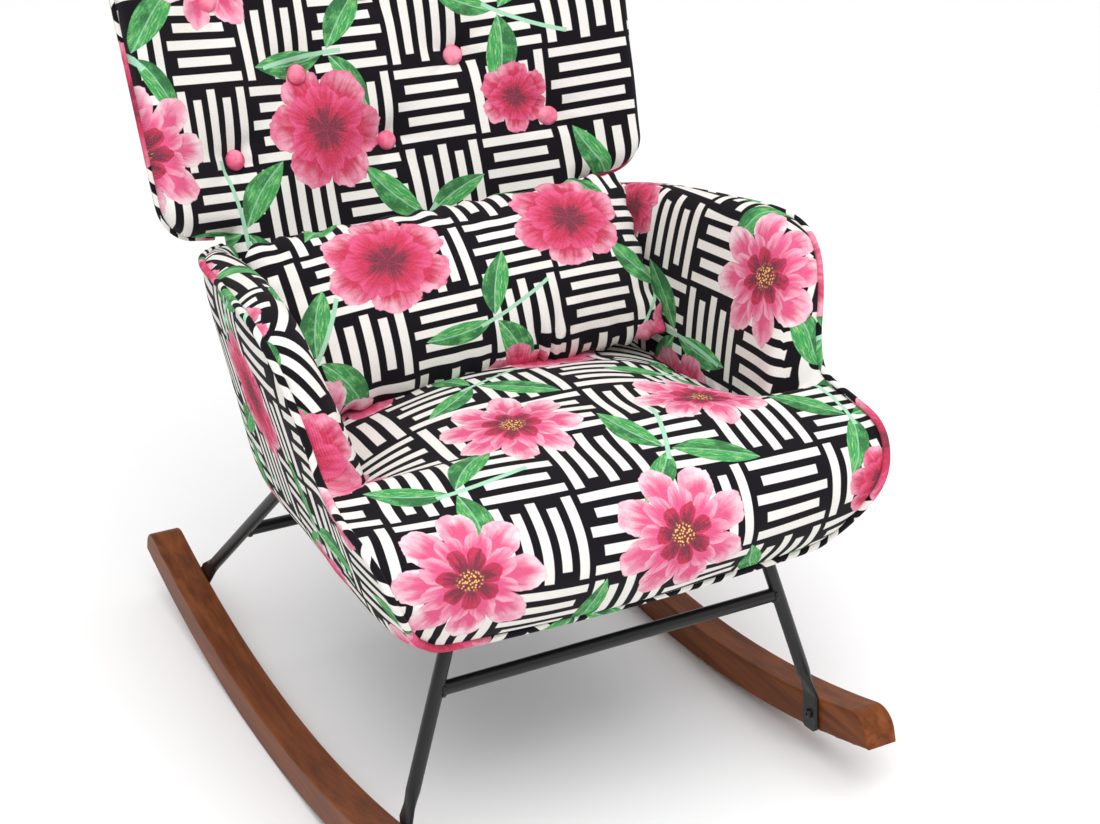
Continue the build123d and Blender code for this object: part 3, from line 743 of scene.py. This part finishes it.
def armGrids():
    # inner skin: rim over a rounded top to the shoulder, down a slightly swollen panel to the crease,
    # then hidden down to the sole; outer skin: rim to sole, bowed out by a flattened hump
    n, topColumns, panelColumns = tub["across"], tub["topColumns"], tub["panelColumns"]
    heading = np.gradient(rim, axis=0)
    heading /= np.linalg.norm(heading, axis=1, keepdims=True)
    crown = np.stack([np.zeros(len(at)), heading[:, 2], -heading[:, 1]], 1)
    armShare = smooth01((tub["armEnd"] - at) / tub["armFade"])[:, None, None]
    a = np.linspace(0, 1, topColumns)[None, :, None]
    top = rim[:, None] * (1 - a) + shoulder[:, None] * a
    top = top + crown[:, None] * tub["topRise"] * np.sin(np.pi * a) ** 0.8 * armShare
    b = np.linspace(0, 1, panelColumns + 1)[None, 1:, None]
    panel = shoulder[:, None] * (1 - b) + crease[:, None] * b
    panel = panel - np.array((1.0, 0, 0)) * tub["innerSwell"] * np.sin(np.pi * b) * armShare
    visible = softened(np.concatenate([top, panel], 1), 6)
    c = np.linspace(0, 1, n - topColumns - panelColumns + 1)[None, 1:, None]
    hidden = crease[:, None] * (1 - c) + sole[:, None] * c
    inner = np.concatenate([visible, hidden], 1)
    t = np.linspace(0, 1, n)[None, :, None]
    outer = rim[:, None] * (1 - t) + sole[:, None] * t
    outward = np.cross(heading, sole - rim)
    outward /= np.linalg.norm(outward, axis=1, keepdims=True)
    tall = np.linalg.norm(rim - sole, axis=1)[:, None, None] / tub["fullHeight"]
    outer = outer + outward[:, None] * tub["bulge"] * tall * (1 - np.abs(2 * t - 1) ** 7)
    # cloth map: the panels lie flat in y and z, and the top and front unfold outwards from the shoulder
    reach = np.linalg.norm(rim - shoulder, axis=1)[:, None, None] * (1 - a) * armShare
    unfolded = shoulder[:, None, 1:] + crown[:, None, 1:] * reach
    innerMap = np.concatenate([unfolded, inner[:, topColumns:, 1:]], 1)
    around = runLength((rim[:, :2] + sole[:, :2]) / 2)[:, None]
    outerMap = np.stack(np.broadcast_arrays(tub["mapStart"] - around, outer[..., 2]), -1)
    grids = [(inner, innerMap), (outer, outerMap)]
    # the two ends carry the outer panel's pattern on round the corner
    for end, side in ((0, 1), (-1, -1)):
        k = np.linspace(0, 1, 5)[:, None, None]
        cap = inner[end][None] * (1 - k) + outer[end][None] * k
        away = np.linalg.norm(cap - outer[end], axis=-1)
        grids.append((cap, np.stack([outerMap[end, :, 0] + side * away, cap[..., 2]], -1)))
    return grids


armSkin = armGrids()
rightArm = joinedGrids("rightArmPad", armSkin, printedCloth("armClothRight", (0.045, -0.015), 0.0))
leftArm = joinedGrids("leftArmPad", mirroredGrids(armSkin), printedCloth("armClothLeft", (0.31, 0.07), 0.0))
placed(rightArm, "chair", "printed_fabric", "right_arm_pad")
placed(leftArm, "chair", "printed_fabric", "left_arm_pad")

seat = {
    # right edge and middle line of the seat skin, from the rear's foot over the top to the front's foot
    "edge": [
        (0.221, 0.203, 0.297), (0.224, 0.206, 0.330), (0.227, 0.206, 0.385), (0.230, 0.203, 0.396),
        (0.262, 0.091, 0.388), (0.268, -0.033, 0.386), (0.272, -0.113, 0.388), (0.276, -0.163, 0.394),
        (0.282, -0.203, 0.408), (0.291, -0.232, 0.428), (0.305, -0.258, 0.451), (0.3125, -0.304, 0.4465),
        (0.3115, -0.348, 0.438), (0.3045, -0.377, 0.4195), (0.2945, -0.388, 0.390), (0.2795, -0.381, 0.358),
        (0.2605, -0.365, 0.327), (0.2355, -0.3565, 0.3055),
    ],
    "middle": [
        (0.228, 0.297), (0.240, 0.330), (0.241, 0.390), (0.222, 0.428),
        (0.091, 0.449), (-0.033, 0.457), (-0.113, 0.460), (-0.163, 0.461),
        (-0.203, 0.461), (-0.236, 0.460), (-0.266, 0.458), (-0.312, 0.451),
        (-0.360, 0.436), (-0.389, 0.411), (-0.401, 0.378), (-0.395, 0.344),
        (-0.376, 0.314), (-0.357, 0.297),
    ],
    "crownPower": 2.6, "rearPower": 9.0,
    # the knot where the rear face's own shape ends, and the knots over which it fades
    "rearEnd": 3.6, "rearFade": 1.2,
    "dent": 0.012, "dentPlace": -0.020, "dentReach": 0.045,
    "topLow": 0.37, "topFade": 0.03,
    # height of the waves, reach of the gathers from the side seams, and the calm strips along the seams
    "wave": 0.0011, "gatherReach": 0.028, "calmSide": 0.012, "calmEnd": 0.02,
    # flat underside: its height, half width and run, and the rows and share of the width it bends over
    "floor": 0.2985, "floorHalf": 0.215, "floorRun": (-0.335, 0.215), "floorRows": 3.0, "floorSide": 0.05,
    "across": 121,
}


def seatGrids():
    # each row runs from the left edge over the middle line to the right edge: the rise from edge to
    # middle is one minus a power of the distance out, a higher one at the rear, whose face turns only near
    # its ends, less a bell-shaped dent under the pillow; shallow waves and gathers at the seams lie on it.
    # The second grid leaves the same border and flattens onto the seat frame
    edge, middle = smoothPath(seat["edge"], at), smoothPath(seat["middle"], at)
    u = np.linspace(-1, 1, seat["across"])[None, :]
    rearShare = np.clip((seat["rearEnd"] - at) / seat["rearFade"], 0, 1)[:, None]
    lift = 1 - np.abs(u) ** (seat["crownPower"] + (seat["rearPower"] - seat["crownPower"]) * rearShare)
    x = u * edge[:, :1]
    y = edge[:, 1:2] + (middle[:, :1] - edge[:, 1:2]) * lift
    z = edge[:, 2:3] + (middle[:, 1:2] - edge[:, 2:3]) * lift
    topside = np.clip((z - seat["topLow"]) / seat["topFade"], 0, 1)
    z = z - seat["dent"] * np.exp(-(((y - seat["dentPlace"]) / seat["dentReach"]) ** 2)) * lift * topside
    skin = np.stack([x, y, z], -1)
    run = runLength(middle)[:, None]
    normal = np.cross(np.gradient(skin, axis=1), np.gradient(skin, axis=0))
    normal /= np.maximum(np.linalg.norm(normal, axis=-1, keepdims=True), 1e-9)
    fromSide = (1 - np.abs(u)) * edge[:, :1]
    fromEnd = np.minimum(run, run[-1] - run)
    waves = np.sin(31 * x + 37 * run) + np.sin(43 * run - 23 * x + 1.3) + np.sin(17 * x - 61 * run + 0.4)
    gathers = np.sin(190 * run + 2.1 * np.sin(29 * run)) * np.exp(-fromSide / seat["gatherReach"])
    calm = np.clip(np.minimum(fromSide / seat["calmSide"], fromEnd / seat["calmEnd"]), 0, 1)
    skin = skin - normal * (seat["wave"] * (waves + gathers) * calm)[..., None]
    cloth = np.stack(np.broadcast_arrays(x, -run), -1)
    rows = np.arange(len(at))
    fromBorder = np.minimum(rows, rows[::-1])[:, None] / seat["floorRows"]
    inside = np.clip(np.minimum(fromBorder, (1 - np.abs(u)) / seat["floorSide"]), 0, 1)[..., None]
    half = seat["floorHalf"]
    level = np.full_like(x, seat["floor"])
    base = np.stack([np.clip(x, -half, half), np.clip(skin[..., 1], *seat["floorRun"]), level], -1)
    return [(skin, cloth), (skin * (1 - inside) + base * inside, cloth)]


seatPad = joinedGrids("seatCushion", seatGrids(), printedCloth("seatCloth", (0.03, 0.02), 0.06))
placed(seatPad, "chair", "printed_fabric", "seat_cushion")

# the cord stands a little out from the seam, away from the padded side
outFromPad = rim - shoulder
outFromPad /= np.linalg.norm(outFromPad, axis=1, keepdims=True)
cordRim = rim + tub["cordOut"] * outFromPad
frontRun = np.linspace(0, 1, 41)[1:-1, None]
frontEdge = cordRim[-1] * (1 - frontRun) + cordRim[-1] * mirror * frontRun
frontHump = np.sin(np.pi * frontRun[:, 0])
frontEdge[:, 1] -= tub["frontBow"] * frontHump
frontEdge[:, 2] -= tub["frontSag"] * frontHump**0.7
tubPath = np.concatenate([cordRim, frontEdge, (cordRim * mirror)[::-1]])
tubPiping = rolledCord("tubPiping", softened(tubPath, 3, 0))
placed(tubPiping, "chair", "printed_fabric", "tub_piping")

# back: curved pad with eight tufts, rear cover and the piping between them
back = {
    "place": (0.0, 0.1916, 0.440),
    "lean": math.radians(20),
    "radius": 0.640,
    "footHalf": 0.238,
    "wing": 0.320, "wingTop": 0.334, "wingFoot": 0.140, "wingCorner": 0.041,
    "flareRise": 0.36,
    "height": 0.572,
    "arch": 0.026,
    "archFrom": 0.3, "archFade": 0.27,
    "corner": 0.098,
    "foot": -0.008, "footSag": 0.92, "footRows": 20,
    "stepRows": 9, "stepGap": 0.006, "stepRise": 0.004,
    "across": 141,
    "crown": 0.014,
    "roll": 0.026,
    "swell": 0.006, "swellReach": 0.14,
    "wave": 0.0009,
    "seamOut": 0.018,
    "coverOut": 0.042, "coverSwell": 0.005, "coverReach": 0.1, "coverShare": 0.998,
    "cordRow": 3, "cordOut": 0.002, "cordPoints": 420,
    "tufts": [(-0.212, 0.223), (0, 0.223), (0.212, 0.223), (-0.106, 0.317), (0.106, 0.317),
              (-0.212, 0.411), (0, 0.411), (0.212, 0.411)],
    "tuftDepth": 0.023, "tuftSize": 0.033,
    "fold": 0.0016, "foldRing": 0.026, "foldWidth": 0.016,
    "crease": 0.003, "creaseWidth": 0.011, "creaseSpan": 0.16,
}


def backPlaces():
    # rows up the back, each as wide as the outline there: foot, a step out to the wing's round lower
    # corner, the flaring wing, then a quarter round at the top; the foot's rows sag with the square
    # of the distance out, so that they come down onto the crowned seat
    foot, corner, top = back["wingFoot"], back["wingCorner"], back["height"] - back["corner"]
    low, step = back["footRows"], back["footRows"] + back["stepRows"]
    footTop = foot - back["stepGap"]
    out = np.linspace(0, 1, back["stepRows"])
    swing = np.linspace(0, math.pi / 2, 16)[1:]
    over = np.linspace(0, math.pi / 2, 40)[1:]
    sideUp = np.linspace(foot + corner, top, 66)[1:]
    rowsUp = np.concatenate([
        np.linspace(back["foot"], footTop, low), foot + back["stepRise"] * (out - 1),
        foot + corner * (1 - np.cos(swing)), sideUp, top + back["corner"] * np.sin(over),
    ])
    flare = np.clip((rowsUp - foot) / back["flareRise"], 0, 1)
    wing = back["wing"] + (back["wingTop"] - back["wing"]) * flare
    cut = np.concatenate([
        np.zeros(low), corner * np.ones(len(out)), corner * (1 - np.sin(swing)), np.zeros_like(sideUp),
        back["corner"] * (1 - np.cos(over)),
    ])
    wide = wing - cut
    wide[:low] = back["footHalf"]
    wide[low:step] = back["footHalf"] + (wide[low:step] - back["footHalf"]) * out
    x = wide[:, None] * np.linspace(-1, 1, back["across"])[None, :]
    archShare = smooth01((rowsUp - back["archFrom"]) / back["archFade"])[:, None]
    y = rowsUp[:, None] - back["arch"] * (x / back["wingTop"]) ** 2 * archShare
    footShare = np.clip((footTop - rowsUp) / (footTop - back["foot"]), 0, 1)[:, None]
    return x, y - back["footSag"] * x**2 * footShare**2


def edgeDistance(x, y):
    # distance from every grid point to the nearest point of the grid's own border, some at a time
    flat = np.stack([x, y], -1)
    border = np.concatenate([flat[0], flat[-1], flat[:, 0], flat[:, -1]])
    best = np.full(x.shape, np.inf)
    for some in np.array_split(border, 12):
        best = np.minimum(best, np.linalg.norm(flat[:, :, None] - some, axis=-1).min(-1))
    return best


def stood(x, y, depth):
    # from the back's own axes to the chair's
    s, c = math.sin(back["lean"]), math.cos(back["lean"])
    px, py, pz = back["place"]
    return np.stack([px + x, py + y * s - depth * c, pz + y * c + depth * s], -1)


def drumDepth(x, radius):
    return back["radius"] - np.sqrt(radius**2 - x**2)


def tuftPull(x, y):
    # each tuft is a cone-like dimple with six short folds, and shallow creases join neighbouring tufts
    pull = np.zeros_like(x)
    for tx, ty in back["tufts"]:
        away = np.hypot(x - tx, y - ty)
        folds = np.cos(6 * np.arctan2(y - ty, x - tx) + 20 * tx)
        pull += back["tuftDepth"] * np.exp(-((away / back["tuftSize"]) ** 1.25))
        pull += back["fold"] * folds * np.exp(-(((away - back["foldRing"]) / back["foldWidth"]) ** 2))
    for k, (ax, ay) in enumerate(back["tufts"]):
        for bx, by in back["tufts"][k + 1:]:
            span = math.hypot(bx - ax, by - ay)
            if span < back["creaseSpan"]:
                share = np.clip(((x - ax) * (bx - ax) + (y - ay) * (by - ay)) / span**2, 0, 1)
                off = np.hypot(x - ax - share * (bx - ax), y - ay - share * (by - ay))
                line = np.exp(-((off / back["creaseWidth"]) ** 2))
                pull += back["crease"] * line * np.abs(2 * share - 1)
    return pull


backX, backY = backPlaces()
backGap = edgeDistance(backX, backY)
rollShare = np.clip(1 - backGap / back["roll"], 0, 1)
rollDrop = 1 - np.sqrt(1 - rollShare**2)
padRadius, seamRadius = back["radius"] - back["crown"], back["radius"] + back["seamOut"]
frontDepth = drumDepth(backX, padRadius) + back["swell"] * smooth01(backGap / back["swellReach"])
backWaves = np.sin(37 * backX + 29 * backY) + np.sin(53 * backY - 19 * backX + 0.7)
frontDepth = frontDepth - tuftPull(backX, backY) + back["wave"] * backWaves
seamDepth = drumDepth(backX, seamRadius)
frontDepth = frontDepth * (1 - rollDrop) + seamDepth * rollDrop
backCloth = np.stack([backX, backY], -1)
backPad = joinedGrids(
    "backPad",
    [(stood(backX, backY, frontDepth), backCloth), (stood(backX, backY, seamDepth), backCloth)],
    printedCloth("backCloth", (0.085, 0.09), 0.0),
)
placed(backPad, "chair", "printed_fabric", "back_pad")
coverX = backX * back["coverShare"]
coverSeam = drumDepth(coverX, seamRadius)
coverRear = drumDepth(coverX, back["radius"] + back["coverOut"])
coverRear = coverRear - back["coverSwell"] * smooth01(backGap / back["coverReach"])
coverRear = coverRear * (1 - rollDrop) + coverSeam * rollDrop
backCover = joinedGrids(
    "backCover",
    [(stood(coverX, backY, coverRear), backCloth), (stood(coverX, backY, coverSeam), backCloth)],
    printedCloth("backCoverCloth", (0.43, 0.31), 0.0),
)
placed(backCover, "chair", "printed_fabric", "back_cover")

# the cord runs from one wing's lower corner over the top to the other, in even steps
wingStart = back["footRows"] + back["cordRow"]
ring = np.concatenate([
    backCloth[wingStart:, -1], backCloth[-1, ::-1][1:-1], backCloth[wingStart:, 0][::-1],
])
ringPath = stood(ring[:, 0], ring[:, 1], drumDepth(ring[:, 0], seamRadius + back["cordOut"]))
stride = runLength(ringPath)
even = np.linspace(0, stride[-1], back["cordPoints"])
ringPath = np.stack([np.interp(even, stride, ringPath[:, k]) for k in range(3)], 1)
backPiping = rolledCord("backPiping", softened(ringPath, 4, 0))
placed(backPiping, "chair", "printed_fabric", "back_piping")

buttonShape = {"radius": 0.0125, "height": 0.0075, "sunk": 0.003}


def buttonGrids():
    # a covered dome: the radius follows a sine and the height a cosine of one angle
    grids = []
    for tx, ty in back["tufts"]:
        swing = np.linspace(0.0, math.pi * 0.62, 15)[:, None]
        turn = np.linspace(0, 2 * math.pi, 33)[None, :]
        r = buttonShape["radius"] * np.sin(swing) ** 0.85
        h = buttonShape["height"] * np.cos(swing)
        bx = tx + r * np.cos(turn)
        by = ty + r * np.sin(turn)
        rest = drumDepth(np.array(tx), padRadius) + back["swell"] - back["tuftDepth"]
        slope = tx / back["radius"]
        depth = rest + buttonShape["sunk"] + h + (bx - tx) * slope
        grids.append((stood(bx - h * slope, by, depth), np.stack([bx, by], -1)))
    return grids


buttons = joinedGrids("backButtons", buttonGrids(), buttonCloth())
placed(buttons, "chair", "printed_fabric", "back_buttons")

# loose lumbar pillow
pillow = {
    "place": (-0.006, 0.038, 0.5235),
    "tilt": math.radians(34),
    "roll": 0.034,
    "half": 0.256, "tall": 0.110, "thick": 0.052, "fullness": 0.66,
    "drawIn": 0.035, "cornerIn": 0.05,
    "clothStretch": 1.25, "clothStart": 0.4,
    "pressure": 4.0, "cap": 0.028,
    "seamWave": 0.0028, "seamReach": 0.026,
    "endWave": 0.0030, "endReach": 0.030,
    "pinchFold": 0.0085, "pinchReach": 0.03,
    "pinch": 0.075, "pinchLine": 0.090,
}
pillowPlace = np.array(pillow["place"])
pillowUp = np.array((0.0, math.sin(pillow["tilt"]), math.cos(pillow["tilt"])))
pillowOut = np.array((0.0, -math.cos(pillow["tilt"]), math.sin(pillow["tilt"])))


def pillowGrids():
    # two lens-shaped faces that meet at one seam; the seam is drawn in along its sides, and its four
    # corners are eased by a high power of both distances out
    u = np.linspace(-1, 1, 111)[None, :]
    v = np.linspace(-1, 1, 61)[:, None]
    ease = pillow["cornerIn"] * (u * v) ** 6
    flatX = pillow["half"] * u * (1 - pillow["drawIn"] * (1 - v**2) - ease)
    flatY = pillow["tall"] * v * (1 - pillow["drawIn"] * 1.2 * (1 - u**2) - ease)
    px = flatX - pillow["roll"] * flatY
    py = flatY + pillow["roll"] * flatX
    bulge = np.clip(1 - np.abs(u) ** 3.2, 0, 1) * np.clip(1 - np.abs(v) ** 2.4, 0, 1)
    depth = pillow["thick"] * bulge ** pillow["fullness"]
    middle = pillowPlace + px[..., None] * np.array((1.0, 0, 0)) + py[..., None] * pillowUp
    grids = []
    for side in (1, -1):
        cloth = np.stack([flatX, flatY * pillow["clothStretch"] + side * pillow["clothStart"]], -1)
        grids.append((middle + side * depth[..., None] * pillowOut, cloth))
    return grids


def onSeam(points):
    return np.abs((points - pillowPlace) @ pillowOut) < 1e-4


def gathered(piece):
    # folds across the seams: waves along the pillow that die away from the long seams and the ends,
    # and one strong pinch on the lower seam
    points, normals = vertexArray(piece.data, "co"), vertexArray(piece.data, "normal")
    offset = points - pillowPlace
    flatX = offset[:, 0]
    flatY = offset @ pillowUp - pillow["roll"] * flatX
    fromSeam = np.clip(pillow["tall"] - np.abs(flatY), 0, 1)
    fromEnd = np.clip(pillow["half"] - np.abs(flatX), 0, 1)
    waves = np.sin(150 * flatX + 2.2 * np.sin(31 * flatX) + 1.2 * np.sign(flatY))
    ends = np.sin(170 * flatY + 0.8 * np.sign(flatX))
    pinch = np.clip(pillow["pinchLine"] + flatY, 0, 1)
    fan = (flatX - pillow["pinch"]) / (0.010 + 0.55 * pinch)
    folds = np.cos(4.4 * fan) * np.exp(-(fan**2) / 2.2)
    rise = pillow["seamWave"] * waves * np.exp(-fromSeam / pillow["seamReach"])
    rise += pillow["endWave"] * ends * np.exp(-fromEnd / pillow["endReach"])
    rise += pillow["pinchFold"] * folds * np.exp(-pinch / pillow["pinchReach"])
    moved(piece.data, points + normals * rise[:, None])


lumbar = joinedGrids("lumbarPillow", pillowGrids(), printedCloth("pillowCloth", (0.10, 0.31), 0.0))
swollen(lumbar, onSeam, pillow["pressure"], pillow["cap"])
gathered(lumbar)
placed(lumbar, "pillow", "printed_fabric", "lumbar_pillow")

# weld beads where the stretchers meet the legs
weld = {"bead": 0.0019, "inset": 0.006}


def weldGrids():
    # a lumpy ring round each stretcher end: its own thickness waves with the turn
    grids = []
    for name in ("front_stretcher", "rear_stretcher"):
        tubePoints = vertexArray(frame["nodes"][name].data, "co")
        low, high = tubePoints.min(0), tubePoints.max(0)
        middle, tube = (low + high) / 2, (high[2] - low[2]) / 2
        turn = np.linspace(0, 2 * math.pi, 61)[:, None]
        roll = np.linspace(0, 2 * math.pi, 13)[None, :]
        bead = weld["bead"] * (1 + 0.2 * np.sin(13 * turn) + 0.12 * np.sin(7 * turn + 1))
        for end, inward in ((low[0], 1), (high[0], -1)):
            px = end + inward * weld["inset"] + 1.3 * bead * np.sin(roll)
            r = tube + bead * np.cos(roll)
            points = np.stack([px, middle[1] + r * np.cos(turn), middle[2] + r * np.sin(turn)], -1)
            grids.append((points, points[..., 1:]))
    return grids


placed(joinedGrids("weldBeads", weldGrids(), finishes["black_metal"]), "chair", "black_metal")

# floor
floorMesh = bpy.data.meshes.new("paleFloor")
half = studio["floor"] / 2
floorCorners = [(-half, -half, 0), (half, -half, 0), (half, half, 0), (-half, half, 0)]
floorMesh.from_pydata(floorCorners, [], [(0, 1, 2, 3)])
floorPiece = bpy.data.objects.new("paleFloor", floorMesh)
floorPaint = newMaterial("paleFloor", {"Base Color": (0.93, 0.93, 0.93, 1), "Roughness": 0.9})[0]
floorMesh.materials.append(floorPaint)
scene.collection.objects.link(floorPiece)
